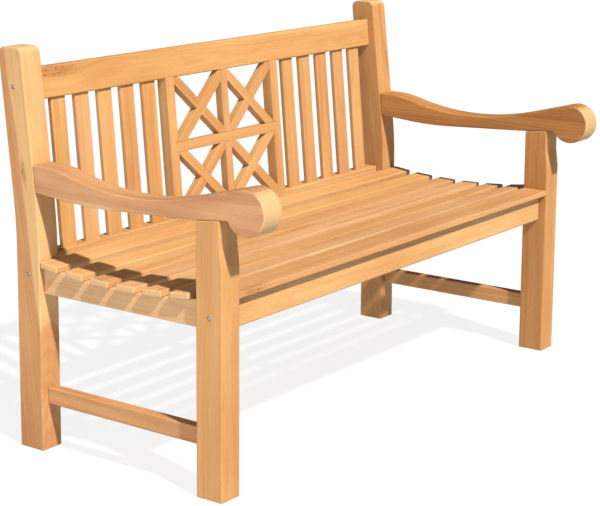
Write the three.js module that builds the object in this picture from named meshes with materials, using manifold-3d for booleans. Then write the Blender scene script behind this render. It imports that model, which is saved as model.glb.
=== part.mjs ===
// A teak garden bench with scroll arms and a lattice panel in its back.
//
// Millimetres, +Z up, +X along the bench to the sitter's left, the front faces -Y.
// Side views are drawn in (y, z) with y = 0 on the rear face of the rear feet and z = 0 on the
// ground, and are extruded across the bench. At the end the group is shifted along Y so that the
// origin lies under the middle of the whole bench.

import * as THREE from "three";
import Module from "manifold-3d";
import { mergeVertices } from "three/addons/utils/BufferGeometryUtils.js";

const wasm = await Module();
wasm.setup();

// ---------------------------------------------------------------- overall sizes

const benchLength = 1500; // over the outer faces of the legs
const frameDepth = 601; // rear face of the rear feet to the front face of the front legs
const backHeight = 941; // ground to the top of the rear legs
const seatHeight = 456; // top of the front slat
const armHeight = 613; // underside of the arm at the rear edge of the front leg
const legWidth = 63; // legs and arms, measured along the bench
const fit = 0.3; // clearance between two pieces that touch

// ---------------------------------------------------------------- end frames

const rearLegDepth = 72;
const rakeStart = seatHeight + 78; // height where the rear leg starts to lean back
const rake = THREE.MathUtils.degToRad(6.4);
const rakeBendRadius = 1000;
const postTopRadius = 18;

const frontLegDepth = 70;
const legReliefDepth = 6; // the front leg is cut back behind the scroll
const legReliefStart = 95; // below the arm
const legReliefEnd = 48;
const legReliefRadius = 90;

const armRearTop = armHeight + 64; // top of the arm where it meets the rear leg
const armRearUnderside = armHeight;
const armHumpRun = 62; // level stretch of the arm in front of the rear leg
const armHumpRadius = 260;
const armFall = THREE.MathUtils.degToRad(16);
const armRise = THREE.MathUtils.degToRad(14.7);
const armDipShare = 0.97; // share of the run from hump to scroll taken by the dip's curve
const armBellyRise = 14; // the underside's lowest point, below its rear end
const armBellyRadius = 900;
const armSeatRise = 8; // rise of the underside across the front leg
const scrollRadius = 51;
const scrollOverhang = 60; // centre of the scroll in front of the front leg
const scrollHeight = armHeight + 31;

const seatRailInset = 14; // side seat rail behind the outer face of the legs
const seatRailThickness = 28;
const seatRailDrop = 80; // underside of the side seat rails below the front slat
const stretcherInset = 20.5;
const stretcherThickness = 27.5;
const stretcherUnderside = 111;
const stretcherHeight = 40;

// ---------------------------------------------------------------- seat

const slatCount = 6;
const slatWidth = 52;
const slatThickness = 15;
const seatDish = 16.5; // depth of the hollow of the seat

const frontRailSetback = 20;
const frontRailThickness = 28;
const frontRailHeight = 70;
const bearerThickness = 30;
const bearerDrop = 70; // underside of the bearer below the front slat

// ---------------------------------------------------------------- back

const backRailSetback = 21; // front of the back rails behind the front of the rear legs
const backRailThickness = 40;
const bottomRailRise = 6; // top of the bottom rail above the front slat
const bottomRailHeight = 83;
const topRailDrop = 49; // top of the top rail below the top of the rear legs
const topRailHeight = 75;
const topRailRadius = 4;

const backSlatCount = 5; // each side of the lattice
const backSlatWidth = 48;
const backSlatThickness = 12;
const backSlatSetback = 8; // front of the back slats behind the front of the rails
const backSlatEndGap = 49; // rear leg to the first slat
const latticeWidth = 402; // between the stiles
const stileWidth = 32;
const stileThickness = 30;
const latticeBarWidth = 26;
const latticeBarThickness = 22;
const latticeRecess = 0.5; // lattice and stiles behind the front of the rails

// ---------------------------------------------------------------- joints

const tenonThickness = 12;
const tenonLength = 20;
const tenonShoulder = 8; // above and below a tenon
const railTenonLength = 15;
const housing = 12; // depth that slats, stiles and the lattice are let in
const armTenonWidth = 30;
const armTenonDepth = 36;
const armTenonHeight = 26;

const boltRadius = 3;
const boltHeadRadius = 6;
const boltHeadHeight = 6;
const boltSink = 10; // head of the counterbore below the face of the leg
const boltClearance = 0.5;
const boltReach = 45; // length of bolt inside the rail
const barrelRadius = 5;
const barrelLength = 18;
const barrelInset = 35; // barrel nut from the end of the rail
const barrelOffset = 6; // middle of the barrel nut behind the axis of the bolt
const roundSides = 16;

// ---------------------------------------------------------------- derived places

const outerFace = benchLength / 2;
const innerFace = outerFace - legWidth;
const frontFace = -frameDepth;
const frontLegRear = frontFace + frontLegDepth;
const rearLegFront = -rearLegDepth;
const up = new THREE.Vector2(Math.sin(rake), Math.cos(rake)); // along the raked post, in (y, z)
const back = new THREE.Vector2(Math.cos(rake), -Math.sin(rake)); // square to it, towards the rear
const topRailStart = (backHeight - topRailDrop - rakeStart) / Math.cos(rake) - topRailHeight;
const bottomRailTop = seatHeight + bottomRailRise;
const frontRailTop = seatHeight - slatThickness - fit;

const teak = () => new THREE.MeshStandardMaterial({ color: 0xd69a58, roughness: 0.6, metalness: 0 });
const steel = () => new THREE.MeshStandardMaterial({ color: 0x8d8a84, roughness: 0.35, metalness: 1 });

// ---------------------------------------------------------------- solids

/** A closed three.js geometry as a solid that can be cut and joined. */
function solid(geometry) {
  const bare = geometry.clone();
  bare.deleteAttribute("normal");
  bare.deleteAttribute("uv");
  const merged = mergeVertices(bare, 1e-4);
  const mesh = new wasm.Mesh({
    numProp: 3,
    vertProperties: merged.attributes.position.array,
    triVerts: new Uint32Array(merged.index.array),
  });
  return new wasm.Manifold(mesh);
}

/** The geometry of a solid. */
function geometryOf(body) {
  const mesh = body.getMesh();
  const geometry = new THREE.BufferGeometry();
  geometry.setAttribute("position", new THREE.BufferAttribute(mesh.vertProperties, 3));
  geometry.setIndex(new THREE.BufferAttribute(mesh.triVerts, 1));
  return geometry;
}

/** A box between two corners, given in any order. */
function block(x0, x1, y0, y1, z0, z1) {
  const geometry = new THREE.BoxGeometry(Math.abs(x1 - x0), Math.abs(y1 - y0), Math.abs(z1 - z0));
  geometry.translate((x0 + x1) / 2, (y0 + y1) / 2, (z0 + z1) / 2);
  return solid(geometry);
}

/** Corners [y, z, radius] as outline points, with each rounded corner as an arc. */
function outline(corners) {
  const points = [];
  corners.forEach(([y, z, radius = 0], i) => {
    const corner = new THREE.Vector2(y, z);
    if (radius === 0) {
      points.push(corner);
      return;
    }
    const before = new THREE.Vector2(...corners.at(i - 1)).sub(corner).normalize();
    const after = new THREE.Vector2(...corners[(i + 1) % corners.length]).sub(corner).normalize();
    const half = Math.acos(THREE.MathUtils.clamp(before.dot(after), -1, 1)) / 2;
    const middle = before.clone().add(after).normalize();
    const centre = corner.clone().addScaledVector(middle, radius / Math.sin(half));
    const start = corner.clone().addScaledVector(before, radius / Math.tan(half)).sub(centre);
    const turn = Math.PI - 2 * half;
    const sense = Math.sign(before.cross(after)) * -1;
    const steps = Math.max(3, Math.ceil(turn / THREE.MathUtils.degToRad(radius > 200 ? 3 : 15)));
    for (let k = 0; k <= steps; k += 1) {
      const spoke = start.clone().rotateAround(new THREE.Vector2(), (sense * turn * k) / steps);
      points.push(centre.clone().add(spoke));
    }
  });
  return points;
}

/** A side view extruded across the bench between x0 and x1. */
function across(points, x0, x1) {
  const depth = Math.abs(x1 - x0);
  const geometry = new THREE.ExtrudeGeometry(new THREE.Shape(points), { depth, bevelEnabled: false });
  const toBench = new THREE.Matrix4().makeBasis(
    new THREE.Vector3(0, 1, 0),
    new THREE.Vector3(0, 0, 1),
    new THREE.Vector3(1, 0, 0),
  );
  geometry.applyMatrix4(toBench);
  geometry.translate(Math.min(x0, x1), 0, 0);
  return solid(geometry);
}

/** A round rod along X from x0 to x1. */
function rodAlongX(radius, x0, x1, y, z) {
  const geometry = new THREE.CylinderGeometry(radius, radius, Math.abs(x1 - x0), roundSides);
  geometry.rotateZ(Math.PI / 2);
  geometry.translate((x0 + x1) / 2, y, z);
  return solid(geometry);
}

/** A point of the raked post: so far up its front face from the bend, so far back from it. */
function onRake(along, behind) {
  return new THREE.Vector2(rearLegFront, rakeStart)
    .addScaledVector(up, along)
    .addScaledVector(back, behind);
}

const bench = new THREE.Group();

function add(name, body, material = teak()) {
  const mesh = new THREE.Mesh(geometryOf(body), material);
  mesh.name = name;
  bench.add(mesh);
}

const sides = [
  ["left", -1],
  ["right", 1],
];

// ---------------------------------------------------------------- bolts and barrel nuts

// Each rail is drawn against the legs by one bolt at each end, into a barrel nut in the rail.
// The bolts run through the middle of the legs.
const topBolt = onRake(topRailStart + topRailHeight / 2, rearLegDepth / 2);
const railJoints = {
  top: { y: topBolt.x, z: topBolt.y, tilt: rake, height: topRailHeight },
  bottom: {
    y: rearLegFront / 2,
    z: bottomRailTop - bottomRailHeight / 2,
    tilt: 0,
    height: bottomRailHeight,
  },
  front: {
    y: frontFace + frontRailSetback + frontRailThickness / 2,
    z: frontRailTop - frontRailHeight / 2,
    tilt: 0,
    height: frontRailHeight,
  },
};

/** A solid turned by the tilt of a rail joint, about that joint's own axis. */
function tilted(body, { y, z, tilt }) {
  const degrees = THREE.MathUtils.radToDeg(tilt);
  return body.translate([0, -y, -z]).rotate([-degrees, 0, 0]).translate([0, y, z]);
}

function bolt(side, { y, z }) {
  const seat = side * (outerFace - boltSink);
  const head = rodAlongX(boltHeadRadius, seat, seat + side * boltHeadHeight, y, z);
  const shank = rodAlongX(boltRadius, seat + side * 1, side * (innerFace - boltReach), y, z);
  const socket = rodAlongX(boltRadius * 0.8, seat + side * 2.5, seat + side * (boltHeadHeight + 1), y, z);
  return head.add(shank).subtract(socket);
}

function boltHoleInLeg(side, { y, z }) {
  const counterbore = rodAlongX(
    boltHeadRadius + boltClearance,
    side * (outerFace + 1),
    side * (outerFace - boltSink - fit),
    y,
    z,
  );
  const shaft = rodAlongX(boltRadius + boltClearance, side * outerFace, side * (innerFace - 1), y, z);
  return counterbore.add(shaft);
}

function barrelNut(side, joint) {
  const geometry = new THREE.CylinderGeometry(barrelRadius, barrelRadius, barrelLength, roundSides);
  geometry.translate(side * (innerFace - barrelInset), joint.y + barrelOffset, joint.z);
  const thread = rodAlongX(boltRadius + boltClearance, side * innerFace, 0, joint.y, joint.z);
  return tilted(solid(geometry).subtract(thread), joint);
}

/** What a rail end loses: the bolt's hole, and the barrel's hole from the rail's rear face. */
function boltHoleInRail(side, joint) {
  const end = side * (innerFace + railTenonLength + 1);
  const shaft = rodAlongX(
    boltRadius + boltClearance,
    end,
    side * (innerFace - boltReach - 2),
    joint.y,
    joint.z,
  );
  const radius = barrelRadius + fit;
  const length = barrelLength / 2 + fit + 30;
  const geometry = new THREE.CylinderGeometry(radius, radius, length, roundSides);
  const middle = joint.y + barrelOffset - barrelLength / 2 - fit + length / 2;
  geometry.translate(side * (innerFace - barrelInset), middle, joint.z);
  return shaft.add(tilted(solid(geometry), joint));
}

for (const [hand, side] of sides) {
  for (const [level, joint] of Object.entries(railJoints)) {
    add(`bolt_${level}_${hand}`, bolt(side, joint), steel());
    add(`barrel_nut_${level}_${hand}`, barrelNut(side, joint), steel());
  }
}

/** A stub tenon on the end of a rail, centred on its joint; loose makes its mortise. */
function railTenon(side, joint, loose = 0) {
  const halfHeight = joint.height / 2 - tenonShoulder + loose;
  const body = block(
    side * (innerFace - 1),
    side * (innerFace + railTenonLength + loose),
    joint.y - tenonThickness / 2 - loose,
    joint.y + tenonThickness / 2 + loose,
    joint.z - halfHeight,
    joint.z + halfHeight,
  );
  return tilted(body, joint);
}

// ---------------------------------------------------------------- seat surface

// The seat is hollowed to an arc that meets the front slat and the front of the rear legs.
const seatReach = (rearLegFront - frontLegRear) / 2;
const seatDishRadius = (seatReach ** 2 + seatDish ** 2) / (2 * seatDish);
const seatLow = seatHeight - 0.5 - seatDish;
const seatCentre = new THREE.Vector2((rearLegFront + frontLegRear) / 2, seatLow + seatDishRadius);
const seatRailUnderside = seatHeight - seatRailDrop;

/** The dished line a given depth below the seat surface, from y0 forward to y1. */
function dishLine(below, y0, y1, steps = 10) {
  const radius = seatDishRadius + below;
  return Array.from({ length: steps + 1 }, (_, k) => {
    const y = y0 + ((y1 - y0) * k) / steps;
    const z = seatCentre.y - Math.sqrt(radius ** 2 - (y - seatCentre.x) ** 2);
    return new THREE.Vector2(y, z);
  });
}

// The slats are flat, so their edges hang a little lower than the middle of their undersides.
const slatEdgeRadius = Math.hypot(seatDishRadius + slatThickness, slatWidth / 2);
const underSlats = slatEdgeRadius - seatDishRadius + fit;

// ---------------------------------------------------------------- side seat rails and stretchers

const sideRailOuter = outerFace - seatRailInset;
const sideRailInner = sideRailOuter - seatRailThickness;
const sideRailEnds = dishLine(underSlats, rearLegFront - fit, frontLegRear + fit);
const sideRailLowTop = Math.min(...sideRailEnds.map((p) => p.y));

/** A tenon that runs on into a leg from a piece between the front and rear legs. */
function sideTenon(side, x, y0, y1, z0, z1, loose = 0) {
  return block(
    side * (x - tenonThickness / 2 - loose),
    side * (x + tenonThickness / 2 + loose),
    y0,
    y1,
    z0 - loose,
    z1 + loose,
  );
}

function sidePieceTenons(side, x, z0, z1, loose = 0) {
  const reach = tenonLength + loose;
  const rear = sideTenon(side, x, rearLegFront - 5, rearLegFront + reach, z0, z1, loose);
  const front = sideTenon(side, x, frontLegRear + 5, frontLegRear - reach, z0, z1, loose);
  return rear.add(front);
}

const railTenonsAt = (side, loose) =>
  sidePieceTenons(
    side,
    (sideRailOuter + sideRailInner) / 2,
    seatRailUnderside + tenonShoulder,
    sideRailLowTop - tenonShoulder,
    loose,
  );
const stretcherMiddle = outerFace - stretcherInset - stretcherThickness / 2;
const stretcherTenonsAt = (side, loose) =>
  sidePieceTenons(
    side,
    stretcherMiddle,
    stretcherUnderside + tenonShoulder,
    stretcherUnderside + stretcherHeight - tenonShoulder,
    loose,
  );

function sideSeatRail(side) {
  const view = [
    new THREE.Vector2(frontLegRear + fit, seatRailUnderside),
    new THREE.Vector2(rearLegFront - fit, seatRailUnderside),
    ...sideRailEnds,
  ];
  return across(view, side * sideRailInner, side * sideRailOuter).add(railTenonsAt(side, 0));
}

function sideStretcher(side) {
  const body = block(
    side * (stretcherMiddle - stretcherThickness / 2),
    side * (stretcherMiddle + stretcherThickness / 2),
    rearLegFront - fit,
    frontLegRear + fit,
    stretcherUnderside,
    stretcherUnderside + stretcherHeight,
  );
  return body.add(stretcherTenonsAt(side, 0));
}

// ---------------------------------------------------------------- armrests

/** The y of the post's front face at a height, less the fit. */
function postFront(z) {
  return rearLegFront + (z - rakeStart) * Math.tan(rake) - fit;
}

function armOutline() {
  const scroll = new THREE.Vector2(frontFace - scrollOverhang, scrollHeight);
  // the level top, then the fall to the dip
  const humpY = postFront(armRearTop) - armHumpRun;
  const hump = [humpY, armRearTop, armHumpRadius];
  // the rise from the dip is a line tangent to the top of the scroll
  const touch = new THREE.Vector2(
    scroll.x + scrollRadius * Math.sin(armRise),
    scroll.y + scrollRadius * Math.cos(armRise),
  );
  const riseSlope = Math.tan(armRise);
  const fallSlope = Math.tan(armFall);
  // where the fall and the rise cross: hump - fall * run = touch - rise * (rest of the run)
  const gap = humpY - touch.x;
  const run = (armRearTop - touch.y + riseSlope * gap) / (fallSlope + riseSlope);
  // the dip is the widest curve that the slopes either side of it allow
  const humpTangent = armHumpRadius * Math.tan(armFall / 2);
  const slopeLeft = Math.min(run / Math.cos(armFall) - humpTangent, (gap - run) / Math.cos(armRise));
  const dipRadius = (armDipShare * slopeLeft) / Math.tan((armFall + armRise) / 2);
  const dip = [humpY - run, armRearTop - fallSlope * run, dipRadius];

  // the underside runs forward to the scroll at the height of the leg's front edge
  const seatSlope = armSeatRise / frontLegDepth;
  const seatFront = armHeight + armSeatRise;
  const gapToScroll = 2;
  const meet = new THREE.Vector2(frontFace - gapToScroll, seatFront + seatSlope * gapToScroll);
  const meetDepth = Math.sqrt(scrollRadius ** 2 - (scroll.y - meet.y) ** 2);
  const underScroll = new THREE.Vector2(scroll.x + meetDepth, meet.y);
  const startAngle = Math.PI / 2 - armRise;
  const endAngle = Math.atan2(underScroll.y - scroll.y, underScroll.x - scroll.x);
  const turn = 2 * Math.PI - (startAngle - endAngle);
  const steps = 26;
  const arc = Array.from({ length: steps + 1 }, (_, k) => {
    const angle = startAngle + (turn * k) / steps;
    return [scroll.x + scrollRadius * Math.cos(angle), scroll.y + scrollRadius * Math.sin(angle)];
  });
  return outline([
    [postFront(armRearUnderside), armRearUnderside],
    [postFront(armRearTop), armRearTop],
    hump,
    dip,
    ...arc,
    [frontFace, seatFront],
    [frontLegRear, armHeight],
    [(rearLegFront + frontLegRear) / 2 + 75, armRearUnderside - armBellyRise, armBellyRadius],
  ]);
}

const armLine = armOutline();

/** The tongue on the rear end of an arm, let into the rear leg. */
function armTongue(side, loose = 0) {
  const middle = side * (outerFace - legWidth / 2);
  const z0 = armRearUnderside + tenonShoulder * 1.5;
  const z1 = armRearTop - tenonShoulder * 1.5;
  return block(
    middle - tenonThickness / 2 - loose,
    middle + tenonThickness / 2 + loose,
    postFront(z0) - 4,
    postFront(z0) + tenonLength + loose,
    z0 - loose,
    z1 + loose,
  );
}

/** The tenon on top of a front leg, in the arm's mortise. */
function legTopTenon(side, loose = 0) {
  const middleX = side * (outerFace - legWidth / 2);
  const middleY = (frontFace + frontLegRear) / 2;
  return block(
    middleX - armTenonWidth / 2 - loose,
    middleX + armTenonWidth / 2 + loose,
    middleY - armTenonDepth / 2 - loose,
    middleY + armTenonDepth / 2 + loose,
    armHeight - 6,
    armHeight + armTenonHeight + loose,
  );
}

function armrest(side) {
  return across(armLine, side * innerFace, side * outerFace)
    .add(armTongue(side))
    .subtract(legTopTenon(side, fit));
}

// ---------------------------------------------------------------- legs

function frontLeg(side) {
  const recess = frontFace + legReliefDepth;
  const frontTop = armHeight + armSeatRise * (1 - legReliefDepth / frontLegDepth) - fit;
  const view = outline([
    [frontLegRear, 0],
    [frontLegRear, armHeight - fit],
    [recess, frontTop],
    [recess, armHeight - legReliefEnd, legReliefRadius],
    [frontFace, armHeight - legReliefStart, legReliefRadius],
    [frontFace, 0],
  ]);
  return across(view, side * innerFace, side * outerFace)
    .add(legTopTenon(side))
    .subtract(railTenonsAt(side, fit))
    .subtract(stretcherTenonsAt(side, fit))
    .subtract(railTenon(side, railJoints.front, fit))
    .subtract(boltHoleInLeg(side, railJoints.front));
}

const rearLegLine = outline([
  [0, 0],
  [rearLegFront, 0],
  [rearLegFront, rakeStart, rakeBendRadius],
  [rearLegFront + (backHeight - rakeStart) * Math.tan(rake), backHeight, postTopRadius],
  [(backHeight - rakeStart) * Math.tan(rake), backHeight, postTopRadius],
  [0, rakeStart, rakeBendRadius],
]);

function rearLeg(side) {
  return across(rearLegLine, side * innerFace, side * outerFace)
    .subtract(railTenonsAt(side, fit))
    .subtract(stretcherTenonsAt(side, fit))
    .subtract(armTongue(side, fit))
    .subtract(railTenon(side, railJoints.bottom, fit))
    .subtract(railTenon(side, railJoints.top, fit))
    .subtract(boltHoleInLeg(side, railJoints.bottom))
    .subtract(boltHoleInLeg(side, railJoints.top));
}

for (const [hand, side] of sides) {
  add(`rear_leg_${hand}`, rearLeg(side));
  add(`front_leg_${hand}`, frontLeg(side));
  add(`armrest_${hand}`, armrest(side));
  add(`side_seat_rail_${hand}`, sideSeatRail(side));
  add(`side_stretcher_${hand}`, sideStretcher(side));
}

// ---------------------------------------------------------------- back slats, stiles and lattice

const railHalf = innerFace - fit; // half the length of the rails between the legs
const bottomRailFront = rearLegFront + backRailSetback;
const panelFoot = new THREE.Vector2(bottomRailFront + backRailThickness / 2, bottomRailTop);
const panelHead = onRake(topRailStart, backRailSetback + backRailThickness / 2);
const panelHeight = panelFoot.distanceTo(panelHead);
const panelMiddle = panelFoot.clone().add(panelHead).multiplyScalar(0.5);
const panelLean = Math.atan2(panelHead.x - panelFoot.x, panelHead.y - panelFoot.y);
const panelFront = backRailThickness / 2 - latticeRecess; // front of the lattice, from the middle

/** Moves a solid from the panel's own frame, x across, y back, z up its slope, into the bench. */
function inPanel(body) {
  const degrees = THREE.MathUtils.radToDeg(panelLean);
  return body.rotate([-degrees, 0, 0]).translate([0, panelMiddle.x, panelMiddle.y]);
}

/** An upright that is let into both back rails; y0 and y1 are its front and rear faces. */
function panelUpright(x, width, y0, y1, loose = 0) {
  const half = panelHeight / 2 + housing + loose;
  return block(x - width / 2 - loose, x + width / 2 + loose, y0 - loose, y1 + loose, -half, half);
}

const latticeHalf = latticeWidth / 2;
const stileMiddle = latticeHalf + stileWidth / 2;
const firstSlat = innerFace - backSlatEndGap - backSlatWidth / 2;
// the slats share out the run from the first slat to the stile evenly
const slatRun = firstSlat + backSlatWidth / 2 - (latticeHalf + stileWidth);
const backSlatPitch = slatRun / backSlatCount;
const barBack = -panelFront + latticeBarThickness;
const barMiddle = (-panelFront + barBack) / 2;

const uprights = [];
for (const [hand, side] of sides) {
  for (let i = 0; i < backSlatCount; i += 1) {
    uprights.push({
      name: `back_slat_${hand}_${i + 1}`,
      shape: (loose) =>
        panelUpright(
          side * (firstSlat - i * backSlatPitch),
          backSlatWidth,
          -backRailThickness / 2 + backSlatSetback,
          -backRailThickness / 2 + backSlatSetback + backSlatThickness,
          loose,
        ),
    });
  }
  uprights.push({
    name: `lattice_stile_${hand}`,
    shape: (loose) =>
      panelUpright(side * stileMiddle, stileWidth, -panelFront, -panelFront + stileThickness, loose),
    cut: (loose) => crossbarShape(loose),
  });
}
uprights.push({
  name: "lattice_upright",
  shape: (loose) => panelUpright(0, latticeBarWidth, -panelFront, barBack, loose),
  cut: (loose) => centreLap(-panelFront - 1, barMiddle, loose),
});

/** The crossbar, let into both stiles. */
function crossbarShape(loose = 0) {
  const half = latticeHalf + housing + loose;
  const rise = latticeBarWidth / 2 + loose;
  return block(-half, half, -panelFront - loose, barBack + loose, -rise, rise);
}

/** The part of the centre, between two depths, where the crossbar laps the upright. */
function centreLap(y0, y1, loose) {
  const half = latticeBarWidth / 2 + loose;
  return block(-half, half, y0, y1 + loose, -half, half);
}

for (const { name, shape, cut } of uprights) {
  const body = cut ? shape(0).subtract(cut(fit)) : shape(0);
  add(name, inPanel(body));
}
add("lattice_crossbar", inPanel(crossbarShape().subtract(centreLap(barMiddle, barBack + 1, 0))));

/** A lattice bar from (x0, z0) to (x1, z1) in the panel, between two depths. */
function slopingBar([x0, z0], [x1, z1], y0, y1, loose = 0) {
  const length = Math.hypot(x1 - x0, z1 - z0);
  const width = latticeBarWidth + 2 * loose;
  const geometry = new THREE.BoxGeometry(length, y1 - y0, width);
  geometry.rotateY(-Math.atan2(z1 - z0, x1 - x0));
  geometry.translate((x0 + x1) / 2, (y0 + y1) / 2, (z0 + z1) / 2);
  return solid(geometry);
}

// The opening between the rails and the stiles, in the bench's own frame.
const openingFoot = bottomRailTop + fit;
const openingHead = [onRake(topRailStart - fit, -60), onRake(topRailStart - fit, 120)];
const opening = across(
  [
    new THREE.Vector2(rearLegFront - 60, openingFoot),
    new THREE.Vector2(rearLegFront + 200, openingFoot),
    openingHead[1],
    openingHead[0],
  ],
  -(latticeHalf - fit),
  latticeHalf - fit,
);
const latticeCross = crossbarShape(fit).add(
  panelUpright(0, latticeBarWidth, -panelFront, barBack, fit),
);
const crossings = inPanel(latticeCross);

// Half diagonals run from the centre into the corners; diamond bars join the middles of the sides.
// They cross in half laps: the diamond keeps its front half and the diagonal its rear half.
const quarters = [
  ["upper_left", -1, 1],
  ["upper_right", 1, 1],
  ["lower_left", -1, -1],
  ["lower_right", 1, -1],
];
for (const [place, sx, sz] of quarters) {
  const halfHigh = panelHeight / 2;
  const overrun = 1.2; // the bars run past the opening and are trimmed to it
  const diagonal = [
    [0, 0],
    [sx * latticeHalf * overrun, sz * halfHigh * overrun],
  ];
  const lean = (overrun - 1) * 0.5;
  const diamond = [
    [sx * latticeHalf * (1 + lean), -sz * halfHigh * lean],
    [-sx * latticeHalf * lean, sz * halfHigh * (1 + lean)],
  ];
  const trim = (body) => inPanel(body).intersect(opening).subtract(crossings);
  const diagonalBar = slopingBar(...diagonal, -panelFront, barBack);
  const diagonalFrontHalf = slopingBar(...diamond, -panelFront - 1, barMiddle + fit, fit);
  const diamondBar = slopingBar(...diamond, -panelFront, barBack);
  const diamondRearHalf = slopingBar(...diagonal, barMiddle, barBack + 1, fit);
  const quarter = block(0, sx * latticeHalf * 2, -100, 100, 0, sz * halfHigh * 2);
  add(`lattice_diagonal_${place}`, trim(diagonalBar.subtract(diagonalFrontHalf).intersect(quarter)));
  add(`lattice_diamond_${place}`, trim(diamondBar.subtract(diamondRearHalf).intersect(quarter)));
}

// ---------------------------------------------------------------- back rails

const mortises = uprights.map(({ shape }) => inPanel(shape(fit)));

/** A rail between the legs from its side view, with its tenons, bolt holes and mortises. */
function rail(view, joint, cuts) {
  let body = across(view, -railHalf, railHalf);
  for (const [, side] of sides) {
    body = body.add(railTenon(side, joint));
    body = body.subtract(boltHoleInRail(side, joint));
  }
  return cuts.reduce((whole, cut) => whole.subtract(cut), body);
}

const topRailEnd = topRailStart + topRailHeight;
const topRailBack = backRailSetback + backRailThickness;
const topRailView = outline([
  onRake(topRailStart, backRailSetback).toArray(),
  onRake(topRailStart, topRailBack).toArray(),
  [...onRake(topRailEnd, topRailBack).toArray(), topRailRadius],
  [...onRake(topRailEnd, backRailSetback).toArray(), topRailRadius],
]);
add("back_top_rail", rail(topRailView, railJoints.top, mortises));

/** The rectangle of an upright rail in side view, down from its top. */
function railView(front, thickness, top, height) {
  return outline([
    [front, top - height],
    [front + thickness, top - height],
    [front + thickness, top],
    [front, top],
  ]);
}

// ---------------------------------------------------------------- seat

const frontRailFront = frontFace + frontRailSetback;
const frontRailRear = frontRailFront + frontRailThickness;

const bearerUnderside = seatHeight - bearerDrop;

/** The tenons of the centre bearer, in the rear and front rails. */
function bearerTenons(loose = 0) {
  const half = tenonThickness / 2 + loose;
  const z0 = bearerUnderside + tenonShoulder - loose;
  const z1 = seatLow - underSlats - tenonShoulder + loose;
  const reach = housing + loose;
  const rear = block(-half, half, bottomRailFront - 5, bottomRailFront + reach, z0, z1);
  const front = block(-half, half, frontRailRear + 5, frontRailRear - reach, z0, z1);
  return rear.add(front);
}

function centreBearer() {
  const rearEnd = bottomRailFront - fit;
  const frontEnd = frontRailRear + fit;
  const view = [
    new THREE.Vector2(frontEnd, bearerUnderside),
    new THREE.Vector2(rearEnd, bearerUnderside),
    ...dishLine(underSlats, rearEnd, frontLegRear + fit),
    new THREE.Vector2(frontLegRear, frontRailTop),
    new THREE.Vector2(frontEnd, frontRailTop),
  ];
  return across(view, -bearerThickness / 2, bearerThickness / 2).add(bearerTenons());
}

const bottomRailView = railView(bottomRailFront, backRailThickness, bottomRailTop, bottomRailHeight);
const bottomCuts = [...mortises, bearerTenons(fit)];
add("back_bottom_rail", rail(bottomRailView, railJoints.bottom, bottomCuts));

const frontRailView = railView(frontRailFront, frontRailThickness, frontRailTop, frontRailHeight);
add("front_seat_rail", rail(frontRailView, railJoints.front, [bearerTenons(fit)]));
add("seat_centre_bearer", centreBearer());

// The slats are spaced evenly between the rear legs and the front slat.
const slatPitch = (rearLegFront - frontLegRear) / slatCount;
const slatClearance = 3; // rear slat to the rear legs

/** A full-width slat, tangent to the dish at its own middle. */
function seatSlat(i) {
  const y = rearLegFront - slatClearance - slatWidth / 2 - i * slatPitch;
  const angle = Math.asin((y - seatCentre.x) / seatDishRadius);
  const geometry = new THREE.BoxGeometry(benchLength, slatWidth, slatThickness);
  geometry.translate(0, 0, -(seatDishRadius + slatThickness / 2));
  geometry.rotateX(angle);
  geometry.translate(0, seatCentre.x, seatCentre.y);
  return solid(geometry);
}

for (let i = 0; i < slatCount; i += 1) {
  add(`seat_slat_${i + 1}`, seatSlat(i));
}

function frontSlat() {
  const end = innerFace - fit;
  return block(-end, end, frontFace, frontLegRear, seatHeight - slatThickness, seatHeight);
}
add("front_slat", frontSlat());

// ---------------------------------------------------------------- origin under the middle

const frontMost = Math.min(...armLine.map((p) => p.x));
const rearMost = Math.max(...rearLegLine.map((p) => p.x));
bench.position.y = -(frontMost + rearMost) / 2;

export default bench;
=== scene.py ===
"""A teak garden bench with scroll arms and a lattice panel in its back."""

import math
import random

import bmesh
import bpy
from mathutils import Matrix, Vector


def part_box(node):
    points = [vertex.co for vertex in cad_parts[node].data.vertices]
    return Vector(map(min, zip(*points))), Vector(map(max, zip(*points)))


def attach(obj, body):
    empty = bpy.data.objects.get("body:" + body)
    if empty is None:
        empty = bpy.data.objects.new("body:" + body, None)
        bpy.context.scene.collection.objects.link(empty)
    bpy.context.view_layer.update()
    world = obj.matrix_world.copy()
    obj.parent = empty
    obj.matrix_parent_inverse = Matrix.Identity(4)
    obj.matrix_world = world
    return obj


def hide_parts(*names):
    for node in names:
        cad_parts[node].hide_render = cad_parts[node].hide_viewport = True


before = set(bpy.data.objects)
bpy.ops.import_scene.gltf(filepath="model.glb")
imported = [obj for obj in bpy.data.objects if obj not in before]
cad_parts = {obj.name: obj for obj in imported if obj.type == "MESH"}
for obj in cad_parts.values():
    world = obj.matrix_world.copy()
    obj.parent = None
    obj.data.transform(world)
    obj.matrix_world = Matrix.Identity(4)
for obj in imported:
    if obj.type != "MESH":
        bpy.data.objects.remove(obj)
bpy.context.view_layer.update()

# ------------------------------------------------------------------ rear legs
# Each rear leg is one teak board, sawn with a slight rake above the seat and rounded over at
# the top. Its arrises are eased by hand, and it is bored from outside for two long bolts. The
# left one still has its sapwood along the front.


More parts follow.
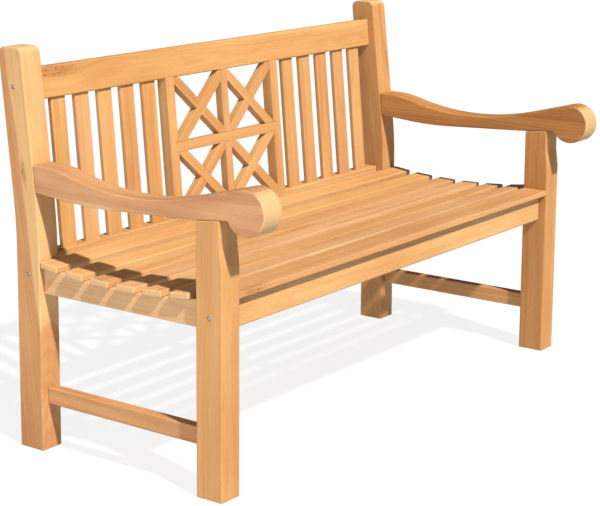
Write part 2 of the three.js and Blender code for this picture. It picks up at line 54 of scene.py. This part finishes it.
class Wire:
    """One output of a material's nodes. Sums written on wires become Math nodes."""

    def __init__(self, nodes, socket):
        self.nodes, self.socket = nodes, socket

    def _sum(self, operation, *terms):
        return self.nodes.add("ShaderNodeMath", {"operation": operation}, dict(enumerate(terms)))

    def __add__(self, other):
        return self._sum("ADD", self, other)

    def __radd__(self, other):
        return self._sum("ADD", other, self)

    def __sub__(self, other):
        return self._sum("SUBTRACT", self, other)

    def __rsub__(self, other):
        return self._sum("SUBTRACT", other, self)

    def __mul__(self, other):
        return self._sum("MULTIPLY", self, other)

    def __rmul__(self, other):
        return self._sum("MULTIPLY", other, self)

    def __pow__(self, other):
        return self._sum("POWER", self, other)

    def absolute(self):
        return self._sum("ABSOLUTE", self)

    def between(self, low, high):
        """0 below low, 1 above high, and a smooth rise from one to the other."""
        settings = {"interpolation_type": "SMOOTHSTEP"}
        return self.nodes.add("ShaderNodeMapRange", settings, {0: self, 1: low, 2: high})


class Nodes:
    """The nodes of one material."""

    def __init__(self, name):
        self.material = bpy.data.materials.new(name)
        self.material.use_nodes = True
        self.tree = self.material.node_tree
        self.surface = next(n for n in self.tree.nodes if n.type == "BSDF_PRINCIPLED")

    def fill(self, node, sockets):
        for key, value in sockets.items():
            if isinstance(value, Wire):
                self.tree.links.new(value.socket, node.inputs[key])
            else:
                node.inputs[key].default_value = value

    def add(self, kind, settings=None, sockets=None, out=0):
        """Adds a node of a kind, sets it up, fills its sockets and gives back one output."""
        node = self.tree.nodes.new(kind)
        for key, value in (settings or {}).items():
            if key == "stops":
                ramp = node.color_ramp.elements
                while len(ramp) < len(value):
                    ramp.new(0.5)
                for stop, (place, colour) in zip(ramp, value):
                    stop.position, stop.color = place, (*colour, 1)
            else:
                setattr(node, key, value)
        self.fill(node, sockets or {})
        return Wire(self, node.outputs[out])

    def vector(self, x, y, z):
        return self.add("ShaderNodeCombineXYZ", {}, {0: x, 1: y, 2: z})

    def split(self, vector):
        node = self.tree.nodes.new("ShaderNodeSeparateXYZ")
        self.fill(node, {0: vector})
        return [Wire(self, output) for output in node.outputs]

    def noise(self, vector, scale, detail=3.0, roughness=0.55):
        sockets = {"Vector": vector, "Scale": scale, "Detail": detail, "Roughness": roughness}
        return self.add("ShaderNodeTexNoise", {}, sockets)

    def blend(self, factor, a, b, how="MIX"):
        """Colour a to colour b by a factor."""
        settings = {"data_type": "RGBA", "blend_type": how, "clamp_factor": True}
        return self.add("ShaderNodeMix", settings, {0: factor, 6: a, 7: b}, out=2)


def teak_material(name):
    """Oiled teak, cut from the log: growth rings round a pith, sapwood, fibres, pores, end grain."""
    wood = Nodes(name)
    place = wood.add("ShaderNodeAttribute", {"attribute_name": "grain"}, out="Vector")
    along, across, through = wood.split(place)
    tone = wood.add("ShaderNodeAttribute", {"attribute_name": "tone"}, out="Vector")
    light, warm, figure = wood.split(tone)
    knot = wood.add("ShaderNodeAttribute", {"attribute_name": "knot"}, out="Vector")
    knot_along, knot_across, knot_through = wood.split(knot)
    sapwood = wood.add("ShaderNodeAttribute", {"attribute_name": "sapwood"}, out="Vector")
    sap_starts, _, _ = wood.split(sapwood)

    # a knot is longer along the board than across it, and ragged
    ragged = wood.noise(place, 130.0, 4.0, 0.65)
    knot_round = (knot_along * knot_along * 0.09 + knot_across * knot_across
                  + knot_through * knot_through) ** 0.5 + (ragged - 0.5) * 3.2

    # growth rings of uneven width, bent by slow wander and pushed aside by a knot
    slow = wood.vector(along * 1.1, across * 4.0, through * 4.0)
    wander = wood.noise(slow, 1.6, 2.0, 0.5) - 0.5
    quick = wood.vector(along * 4.0, across * 18.0, through * 18.0)
    ripple = wood.noise(quick, 1.0, 2.0, 0.5) - 0.5
    push = (1 - knot_round.between(0.0, 7.0)) * 0.007
    rings = (across * across + through * through) ** 0.5 + wander * 0.036 + ripple * 0.005 + push
    growth = wood.noise(wood.vector(rings * 150.0, along * 0.35, 0.0), 1.0, 3.5, 0.62)
    late = growth.between(0.3, 0.72)
    broad_rings = wood.vector(rings * 95.0, along * 0.5, 7.0)
    dark_line = wood.noise(broad_rings, 1.0, 2.0, 0.5).between(0.635, 0.7)

    # fibres and pores, long and thin along the board
    fibre = wood.noise(wood.vector(along * 6.0, across * 260.0, through * 260.0), 1.0, 4.0, 0.6)
    streak = wood.noise(wood.vector(along * 1.6, across * 60.0, through * 60.0), 1.0, 4.0, 0.6)
    pores = wood.noise(wood.vector(along * 42.0, across * 900.0, through * 900.0), 1.0, 2.0, 0.5)
    pore = pores.between(0.6, 0.72)
    cloud = wood.noise(wood.vector(along * 2.4, across * 8.0, through * 8.0), 1.0, 3.0, 0.55)

    # pale gold to tan to brown; each board has its own lightness, warmth and strength of figure
    sap = (rings - sap_starts).between(-0.001, 0.0035)
    depth = (0.42 + (late - 0.5) * (0.10 + figure * 0.30) + (streak - 0.5) * 0.55
             + (cloud - 0.5) * 0.75 + (fibre - 0.5) * 0.2 - light * 0.5 - sap * 0.42)
    gold = wood.add("ShaderNodeValToRGB", {"stops": [
        (0.0, (0.53, 0.315, 0.125)),
        (0.35, (0.46, 0.240, 0.083)),
        (0.65, (0.385, 0.175, 0.054)),
        (1.0, (0.25, 0.098, 0.029)),
    ]}, {0: depth})
    peach = wood.add("ShaderNodeValToRGB", {"stops": [
        (0.0, (0.52, 0.315, 0.165)),
        (0.35, (0.44, 0.235, 0.115)),
        (0.65, (0.355, 0.168, 0.083)),
        (1.0, (0.23, 0.098, 0.048)),
    ]}, {0: depth})
    colour = wood.blend(warm, gold, peach)
    colour = wood.blend(dark_line * (0.12 + figure * 0.3), colour, (0.55, 0.38, 0.28, 1), "MULTIPLY")
    colour = wood.blend(pore * 0.3, colour, (0.40, 0.22, 0.12, 1), "MULTIPLY")

    # end grain: paler, drier and speckled
    axis = wood.add("ShaderNodeAttribute", {"attribute_name": "axis"}, out="Vector")
    normal = wood.add("ShaderNodeNewGeometry", out="True Normal")
    dot = {"operation": "DOT_PRODUCT"}
    facing = wood.add("ShaderNodeVectorMath", dot, {0: axis, 1: normal}, out="Value")
    end = facing.absolute().between(0.3, 0.6)
    speckle = wood.noise(place, 700.0, 3.0, 0.65)
    pale = wood.blend(speckle.between(0.35, 0.7), (0.55, 0.37, 0.185, 1), (0.42, 0.25, 0.11, 1))
    colour = wood.blend(end * 0.8, colour, pale)

    # round a knot the wood darkens, with flecks of bark in it
    halo = 1 - knot_round.between(0.8, 4.2)
    flecks = wood.noise(wood.vector(along * 65.0, across * 210.0, through * 210.0), 1.0, 3.0, 0.65)
    fleck = (1 - knot_round.between(0.6, 3.0)) * flecks.between(0.52, 0.62)
    colour = wood.blend(halo * 0.5, colour, (0.66, 0.48, 0.34, 1), "MULTIPLY")
    colour = wood.blend(fleck * 0.7, colour, (0.14, 0.062, 0.028, 1))

    relief = late * 0.2 + fibre * 0.55 - pore * 0.6 - fleck * 1.5 + speckle * end * 1.2
    bump = wood.add("ShaderNodeBump", {}, {"Strength": 0.28, "Distance": 0.0006, "Height": relief})
    roughness = 0.54 + fibre * 0.14 + pore * 0.15 + end * 0.16 - late * 0.05
    wood.fill(wood.surface, {
        "Base Color": colour,
        "Roughness": roughness,
        "Normal": bump,
        "Specular IOR Level": 0.25,
    })
    return wood.material


TEAK = teak_material("teak")


def object_from(bm, name):
    mesh = bpy.data.meshes.new(name)
    bm.normal_update()
    bm.to_mesh(mesh)
    bm.free()
    piece = bpy.data.objects.new(name, mesh)
    bpy.context.scene.collection.objects.link(piece)
    return piece


def ease_arrises(bm, ease, clamp=True):
    """Rounds the sharp long edges of a board by so much."""
    sharp = [e for e in bm.edges if len(e.link_faces) == 2
             and e.calc_face_angle(0) > math.radians(28) and e.calc_length() > ease * 0.6]
    bmesh.ops.bevel(bm, geom=sharp, offset=ease, offset_type="OFFSET", segments=3, profile=0.5,
                    affect="EDGES", clamp_overlap=clamp)


def side_view(node, x):
    """The outline, in (y, z), of a CAD part's flat face at x."""
    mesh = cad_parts[node].data
    key = lambda i: tuple(round(c, 5) for c in mesh.vertices[i].co)
    steps = {}
    for face in mesh.polygons:
        corners = [key(i) for i in face.vertices]
        if all(abs(c[0] - x) < 2e-5 for c in corners):
            for a, b in zip(corners, corners[1:] + corners[:1]):
                steps.setdefault(a, set()).add(b)
    rim = {a: [b for b in ends if a not in steps.get(b, ())] for a, ends in steps.items()}
    rim = {a: ends for a, ends in rim.items() if ends}
    loops = []
    while rim:
        start = next(iter(rim))
        loop, spot = [start], rim[start].pop()
        while spot != start:
            loop.append(spot)
            ends = rim[spot]
            step = ends.pop()
            if not ends:
                del rim[spot]
            spot = step
        if not rim.get(start):
            rim.pop(start, None)
        loops.append([(y, z) for _, y, z in loop])
    reach = lambda loop: max(y for y, _ in loop) - min(y for y, _ in loop) + max(z for _, z in loop)
    return max(loops, key=reach)


def sawn(name, outline, x0, x1, ease):
    """A board sawn to a side view and as thick as x0 to x1, with its arrises eased."""
    bm = bmesh.new()
    face = bm.faces.new([bm.verts.new((x0, y, z)) for y, z in outline])
    extruded = bmesh.ops.extrude_face_region(bm, geom=[face])["geom"]
    far_side = [v for v in extruded if isinstance(v, bmesh.types.BMVert)]
    bmesh.ops.translate(bm, vec=(x1 - x0, 0, 0), verts=far_side)
    bmesh.ops.recalc_face_normals(bm, faces=bm.faces)
    ease_arrises(bm, ease, clamp=False)
    sides = [f for f in bm.faces if len(f.verts) > 4]
    bmesh.ops.triangulate(bm, faces=sides, ngon_method="BEAUTY")
    return object_from(bm, name)


def drill(piece, x0, x1, y, z, radius):
    """Bores a round hole along X into a piece."""
    bm = bmesh.new()
    turn = Matrix.Translation(((x0 + x1) / 2, y, z)) @ Matrix.Rotation(math.pi / 2, 4, "Y")
    bmesh.ops.create_cone(bm, cap_ends=True, segments=32, radius1=radius, radius2=radius,
                          depth=abs(x1 - x0), matrix=turn)
    bit = object_from(bm, "drill_bit")
    cut = piece.modifiers.new("bore", "BOOLEAN")
    cut.operation, cut.object, cut.solver = "DIFFERENCE", bit, "EXACT"
    seen = piece.evaluated_get(bpy.context.evaluated_depsgraph_get())
    mesh = bpy.data.meshes.new_from_object(seen)
    piece.modifiers.clear()
    piece.data = mesh
    bpy.data.objects.remove(bit)


def write(mesh, name, values):
    attribute = mesh.attributes.new(name, "FLOAT_VECTOR", "POINT")
    attribute.data.foreach_set("vector", [c for v in values for c in v])


FAR_FROM_A_KNOT = (90, 90, 90)
NO_SAPWOOD = 9.0


def timber(piece, node, along, light, warm, figure,
           knot=None, knot_size=0.005, pith=None, sap=NO_SAPWOOD):
    """Cuts the piece from a log: its grain, its tone, and its knot and sapwood if it has any."""
    draw = random.Random(piece.name)
    low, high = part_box(node)
    middle = (low + high) / 2
    along = Vector(along).normalized()
    guide = Vector((0, 0, 1)) if abs(along.x) > 0.9 else Vector((1, 0, 0))
    across = (guide - along * guide.dot(along)).normalized()
    through = along.cross(across)
    far = pith or (draw.uniform(-0.03, 0.03), draw.choice((-1, 1)) * draw.uniform(0.03, 0.09))
    start = draw.uniform(3, 40)
    mesh = piece.data
    spots = [v.co - middle for v in mesh.vertices]
    write(mesh, "grain", [(s.dot(along) + start, s.dot(across) + far[0], s.dot(through) + far[1])
                          for s in spots])
    write(mesh, "tone", [(light, warm, figure)] * len(spots))
    write(mesh, "axis", [tuple(along)] * len(spots))
    write(mesh, "sapwood", [(sap, 0, 0)] * len(spots))
    if knot:
        eye = Vector(knot) - middle
        write(mesh, "knot", [tuple((s - eye).dot(d) / knot_size for d in (along, across, through))
                             for s in spots])
    else:
        write(mesh, "knot", [FAR_FROM_A_KNOT] * len(spots))
    mesh.materials.clear()
    mesh.materials.append(TEAK)
    for face in mesh.polygons:
        face.use_smooth = True
    even = piece.modifiers.new("even_shading", "WEIGHTED_NORMAL")
    even.mode, even.weight, even.keep_sharp = "FACE_AREA", 90, False
    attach(piece, "root")
    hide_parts(node)
    return piece


LEG_EASE = 0.003
LEG_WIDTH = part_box("rear_leg_left")[1].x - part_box("rear_leg_left")[0].x
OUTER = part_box("rear_leg_right")[1].x
INNER = OUTER - LEG_WIDTH
SIDES = {"left": -1, "right": 1}
BORE_RADIUS = 0.0065
BORE_DEPTH = 0.0103
DRILL_OVERRUN = 0.005


def bolt_centre(level, hand):
    low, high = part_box(f"bolt_{level}_{hand}")
    return (low.y + high.y) / 2, (low.z + high.z) / 2


def bore_for_bolt(piece, level, hand):
    y, z = bolt_centre(level, hand)
    face = SIDES[hand] * OUTER
    outside = face + SIDES[hand] * DRILL_OVERRUN
    drill(piece, outside, face - SIDES[hand] * BORE_DEPTH, y, z, BORE_RADIUS)


for hand, side in SIDES.items():
    node = f"rear_leg_{hand}"
    leg = sawn(f"{node}_board", side_view(node, side * OUTER), side * INNER, side * OUTER, LEG_EASE)
    for level in ("top", "bottom"):
        bore_for_bolt(leg, level, hand)
    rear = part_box(node)[0].y
    looks = {
        "left": {"light": -0.3, "warm": 0.4, "figure": 0.35, "knot": (-OUTER, rear + 0.045, 0.655),
                 "knot_size": 0.0035, "pith": (0.005, -0.08), "sap": 0.114},
        "right": {"light": -0.12, "warm": 0.15, "figure": 0.3},
    }[hand]
    timber(leg, node, (0, 0.15, 1), **looks)

# ------------------------------------------------------------------ front legs
# A square teak post, its front face cut back a little below the scroll. It is tenoned into the
# arm and bored from outside for one bolt.

for hand, side in SIDES.items():
    node = f"front_leg_{hand}"
    leg = sawn(f"{node}_post", side_view(node, side * OUTER), side * INNER, side * OUTER, LEG_EASE)
    bore_for_bolt(leg, "front", hand)
    looks = {
        "left": {"light": -0.12, "warm": 0.15, "figure": 0.3},
        "right": {"light": -0.2, "warm": 0.05, "figure": 0.3},
    }[hand]
    timber(leg, node, (0, 0, 1), **looks)

# ------------------------------------------------------------------ armrests
# Each arm is sawn from one thick teak board: a hump against the rear leg, a dip for the elbow
# and a round scroll in front. The grain runs straight through, so the scroll's nose is end grain.
# A little sapwood shows low on the left arm's outer face.

ARM_EASE = 0.0035

for hand, side in SIDES.items():
    node = f"armrest_{hand}"
    arm = sawn(f"{node}_board", side_view(node, side * OUTER), side * INNER, side * OUTER, ARM_EASE)
    looks = {
        "left": {"light": -0.2, "warm": 0.85, "figure": 0.6, "pith": (-0.1, 0.0), "sap": 0.1395},
        "right": {"light": -0.6, "warm": 0.05, "figure": 0.6, "pith": (0.05, 0.06)},
    }[hand]
    timber(arm, node, (0, 1, 0), **looks)

# ------------------------------------------------------------------ side rails and stretchers
# Under each arm a seat rail, its top cut to the hollow of the seat, and near the ground a thin
# stretcher. Both are tenoned into the legs.


def eased(name, node, ease):
    """A board of exactly the CAD part's shape, with its arrises eased."""
    bm = bmesh.new()
    bm.from_mesh(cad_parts[node].data)
    bmesh.ops.remove_doubles(bm, verts=bm.verts, dist=1e-5)
    bmesh.ops.dissolve_limit(bm, angle_limit=math.radians(0.3), verts=bm.verts, edges=bm.edges)
    ease_arrises(bm, ease)
    return object_from(bm, name)


SIDE_RAIL_EASE = 0.0025
SIDE_TONES = {
    "side_seat_rail": {"left": (0.7, 0.75), "right": (0.4, 0.4)},
    "side_stretcher": {"left": (-0.25, 0.5), "right": (-0.1, 0.3)},
}
for part, hands in SIDE_TONES.items():
    for hand, (light, warm) in hands.items():
        node = f"{part}_{hand}"
        timber(eased(f"{node}_board", node, SIDE_RAIL_EASE), node, (0, 1, 0), light, warm, 0.5)

# ------------------------------------------------------------------ rails between the end frames
# Three long teak boards bolted between the end frames: the top rail leans with the legs, the
# bottom rail stands behind the seat, and the front rail carries the front slat.

FIT = 0.0003
RAIL_END = INNER - FIT
BACK_RAIL_EASE = 0.004
FRONT_RAIL_EASE = 0.005


def rail(node, light, warm, figure, ease, **knot):
    outline = side_view(node, RAIL_END)
    piece = sawn(f"{node}_board", outline, -RAIL_END, RAIL_END, ease)
    return timber(piece, node, (1, 0, 0), light, warm, figure, **knot)


top_low, top_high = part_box("back_top_rail")
rail("back_top_rail", -0.03, 0.08, 0.9, BACK_RAIL_EASE,
     knot=(-INNER + 0.06, top_low.y + 0.012, top_high.z - 0.012), knot_size=0.0085, pith=(0.012, 0.055))
rail("back_bottom_rail", 0.0, 0.3, 0.5, BACK_RAIL_EASE)
rail("front_seat_rail", 0.2, 0.12, 0.3, FRONT_RAIL_EASE)

# ------------------------------------------------------------------ seat
# Six long slats lie across the side rails from end to end of the bench, and a front slat fits
# between the front legs. A bearer holds them up in the middle. All have rounded arrises.

SLAT_EASE = 0.0028
SLAT_TONES = [
    (0.2, 0.3, 0.6),
    (0.35, 0.2, 0.5),
    (0.05, 0.5, 0.9),
    (0.4, 0.75, 0.5),
    (0.15, 0.35, 0.8),
    (0.3, 0.85, 0.6),
]
for i, tones in enumerate(SLAT_TONES, 1):
    node = f"seat_slat_{i}"
    timber(eased(f"{node}_board", node, SLAT_EASE), node, (1, 0, 0), *tones)

slat_low, slat_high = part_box("front_slat")
front_board = eased("front_slat_board", "front_slat", SLAT_EASE)
timber(front_board, "front_slat", (1, 0, 0), 0.02, 0.45, 0.5,
       knot=(slat_low.x + 0.045, slat_low.y, slat_high.z - 0.006), knot_size=0.006)
bearer = eased("seat_bearer", "seat_centre_bearer", SIDE_RAIL_EASE)
timber(bearer, "seat_centre_bearer", (0, 1, 0), -0.1, 0.4, 0.4)

# ------------------------------------------------------------------ back slats
# Thin upright slats, five each side of the lattice, with their ends let into the two rails.

BACK_SLAT_THICKNESS = 0.012
BACK_SLAT_EASE = 0.0022
low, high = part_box("back_slat_left_1")
lean = (high.y - low.y - BACK_SLAT_THICKNESS) / (high.z - low.z)
PANEL_UP = Vector((0, lean, 1)).normalized()

BACK_TONES = {
    "left": [
        (0.25, 0.0, 0.4),
        (0.12, 0.5, 0.3),
        (0.2, 0.25, 0.3),
        (-0.02, 0.25, 0.5),
        (0.08, 0.1, 0.4),
    ],
    "right": [
        (0.1, 0.3, 0.4),
        (0.0, 0.45, 0.4),
        (0.12, 0.2, 0.3),
        (-0.05, 0.35, 0.4),
        (0.1, 0.2, 0.3),
    ],
}
for hand in SIDES:
    for i, tones in enumerate(BACK_TONES[hand], 1):
        node = f"back_slat_{hand}_{i}"
        timber(eased(f"{node}_board", node, BACK_SLAT_EASE), node, PANEL_UP, *tones)

# ------------------------------------------------------------------ lattice
# Two stiles, an upright and a crossbar, and sloping bars half-lapped over each other, all flush
# in front. The stiles and the upright are let into the rails, and the crossbar into the stiles.

STILE_EASE = 0.002
BAR_EASE = 0.0012

for hand in SIDES:
    node = f"lattice_stile_{hand}"
    timber(eased(f"{node}_board", node, STILE_EASE), node, PANEL_UP, 0.1, 0.15, 0.4)

upright = eased("lattice_upright_bar", "lattice_upright", BAR_EASE)
timber(upright, "lattice_upright", PANEL_UP, 0.0, 0.4, 0.4)
crossbar = eased("lattice_cross_bar", "lattice_crossbar", BAR_EASE)
timber(crossbar, "lattice_crossbar", (1, 0, 0), 0.02, 0.3, 0.4)

for row, sz in (("upper", 1), ("lower", -1)):
    for hand, sx in SIDES.items():
        for kind, slope in (("diagonal", sx * sz), ("diamond", -sx * sz)):
            node = f"lattice_{kind}_{row}_{hand}"
            low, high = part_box(node)
            run, rise = high.x - low.x, high.z - low.z
            bar = Vector((run * slope, 0, 0)) + PANEL_UP * rise
            tones = {"diagonal": (0.02, 0.3, 0.4), "diamond": (0.08, 0.15, 0.4)}[kind]
            timber(eased(f"{node}_bar", node, BAR_EASE), node, bar, *tones)

# ------------------------------------------------------------------ bolts
# Zinc-plated bolts with round socket heads, sunk in the legs, and barrel nuts sunk in the rails.


def steel_material():
    """Zinc-plated steel, dull, with fine scratches."""
    metal = Nodes("zinc_plated_steel")
    place = metal.add("ShaderNodeTexCoord", out="Object")
    patch = metal.noise(place, 160.0, 3.0, 0.6)
    scratch = metal.noise(place, 1400.0, 2.0, 0.5)
    colour = metal.blend(patch, (0.42, 0.41, 0.39, 1), (0.62, 0.61, 0.58, 1))
    bump = metal.add("ShaderNodeBump", {}, {"Strength": 0.15, "Distance": 0.0002, "Height": scratch})
    metal.fill(metal.surface, {
        "Base Color": colour,
        "Metallic": 0.95,
        "Roughness": 0.3 + patch * 0.25,
        "Normal": bump,
    })
    return metal.material


STEEL = steel_material()
HEAD_RADIUS = 0.006
HEAD_HEIGHT = 0.006
SHANK_RADIUS = 0.003
TIP_RADIUS = 0.0022
TIP_LENGTH = 0.001
SOCKET_RADIUS = 0.003
SOCKET_DEPTH = 0.0035
EDGE = 0.0003
SHOULDER = 0.001


def turned(name, profile, centre, direction, segments=40):
    """A part turned from (distance along, radius) points round an axis along X."""
    bm = bmesh.new()
    rings = []
    for reach, radius in profile:
        ring = []
        for k in range(segments):
            a = 2 * math.pi * k / segments
            ring.append(bm.verts.new((centre[0] + direction * reach, centre[1] + radius * math.cos(a),
                                      centre[2] + radius * math.sin(a))))
        rings.append(ring)
    for near, far in zip(rings, rings[1:]):
        for k in range(segments):
            bm.faces.new((near[k], near[(k + 1) % segments], far[(k + 1) % segments], far[k]))
    bm.faces.new(rings[0])
    bm.faces.new(rings[-1])
    bmesh.ops.recalc_face_normals(bm, faces=bm.faces)
    piece = object_from(bm, name)
    for face in piece.data.polygons:
        face.use_smooth = len(face.vertices) == 4
    return piece


for level in ("top", "bottom", "front"):
    for hand, side in SIDES.items():
        node = f"bolt_{level}_{hand}"
        low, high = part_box(node)
        y, z = bolt_centre(level, hand)
        tip, crown = (high.x, low.x) if side < 0 else (low.x, high.x)
        length = abs(crown - tip)
        profile = [
            (SOCKET_DEPTH, SOCKET_RADIUS * 0.2),
            (SOCKET_DEPTH, SOCKET_RADIUS),
            (EDGE, SOCKET_RADIUS),
            (0, SOCKET_RADIUS + EDGE),
            (0, HEAD_RADIUS - SHOULDER),
            (EDGE, HEAD_RADIUS - EDGE),
            (SHOULDER, HEAD_RADIUS),
            (HEAD_HEIGHT, HEAD_RADIUS),
            (HEAD_HEIGHT, SHANK_RADIUS),
            (length - TIP_LENGTH, SHANK_RADIUS),
            (length, TIP_RADIUS),
        ]
        bolt = turned(f"{node}_socket_head", profile, (crown, y, z), -side)
        bolt.data.materials.append(STEEL)
        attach(bolt, "root")
        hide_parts(node)
        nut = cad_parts[f"barrel_nut_{level}_{hand}"]
        for place in nut.material_slots:
            place.material = STEEL

# ------------------------------------------------------------------ floor, light and camera
# A plain, nearly white floor that glows, so that shadows on it stay faint, one hard lamp high in
# front and a little to the left, a soft panel low on the left, and a dim, cool room. The camera
# stands off the left front corner with a long lens.

bm = bmesh.new()
bmesh.ops.create_grid(bm, x_segments=8, y_segments=8, size=60)
floor = object_from(bm, "floor")
pale_floor = Nodes("pale_floor")
pale_floor.fill(pale_floor.surface, {
    "Base Color": (0.08, 0.08, 0.08, 1),
    "Roughness": 0.9,
    "Emission Color": (1, 1, 1, 1),
    "Emission Strength": 0.86,
})
floor.data.materials.append(pale_floor.material)

world = bpy.data.worlds.new("pale_room")
world.use_nodes = True
room = world.node_tree.nodes["Background"]
room.inputs["Color"].default_value = (0.85, 0.93, 1.12, 1)
room.inputs["Strength"].default_value = 0.14
bpy.context.scene.world = world

TOWARD_LAMP = Vector((-0.26, -0.85, 1.0))
sun = bpy.data.objects.new("key", bpy.data.lights.new("key", "SUN"))
sun.data.energy = 6.8
sun.data.angle = math.radians(2.5)
sun.data.color = (1.0, 0.955, 0.87)
sun.rotation_mode = "QUATERNION"
sun.rotation_quaternion = TOWARD_LAMP.to_track_quat("Z", "Y")
bpy.context.scene.collection.objects.link(sun)

TOWARD_PANEL = Vector((-1.0, -0.1, 0.15))
fill = bpy.data.objects.new("fill", bpy.data.lights.new("fill", "AREA"))
fill.data.shape, fill.data.size = "SQUARE", 1.8
fill.data.energy = 44
fill.location = (-OUTER - 2.2, -0.5, 0.75)
fill.rotation_mode = "QUATERNION"
fill.rotation_quaternion = TOWARD_PANEL.to_track_quat("Z", "Y")
fill.visible_camera = False
bpy.context.scene.collection.objects.link(fill)

IMAGE_WIDTH, IMAGE_HEIGHT = 600, 506
FOCAL_PIXELS = 1714.33
CENTRE_ACROSS, CENTRE_DOWN = 201.97, 166.9
LEFT_OF_BENCH, AHEAD_OF_REAR_LEGS, ABOVE_GROUND = 2.72932, 2.6745, 1.38913
azimuth, elevation, roll = math.radians(-51.17), math.radians(10.66), math.radians(-0.2)
toward = Vector((math.sin(azimuth) * math.cos(elevation), -math.cos(azimuth) * math.cos(elevation),
                 math.sin(elevation)))
level_right = Vector((math.cos(azimuth), math.sin(azimuth), 0))
level_up = toward.cross(level_right)
right = level_right * math.cos(roll) + level_up * math.sin(roll)
up = level_up * math.cos(roll) - level_right * math.sin(roll)
camera = bpy.data.objects.new("camera", bpy.data.cameras.new("camera"))
bpy.context.scene.collection.objects.link(camera)
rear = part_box("rear_leg_left")[0].y
stand = Vector((-LEFT_OF_BENCH - OUTER, rear - AHEAD_OF_REAR_LEGS, ABOVE_GROUND))
camera.matrix_world = Matrix((
    (right.x, up.x, toward.x, stand.x),
    (right.y, up.y, toward.y, stand.y),
    (right.z, up.z, toward.z, stand.z),
    (0, 0, 0, 1),
))
camera.data.sensor_width = 36
camera.data.lens = FOCAL_PIXELS / IMAGE_WIDTH * camera.data.sensor_width
camera.data.shift_x = (IMAGE_WIDTH / 2 - CENTRE_ACROSS) / IMAGE_WIDTH
camera.data.shift_y = (CENTRE_DOWN - IMAGE_HEIGHT / 2) / IMAGE_WIDTH
camera.data.clip_end = 200
bpy.context.scene.camera = camera
bpy.context.scene.view_settings.view_transform = "Standard"

bpy.context.view_layer.update()
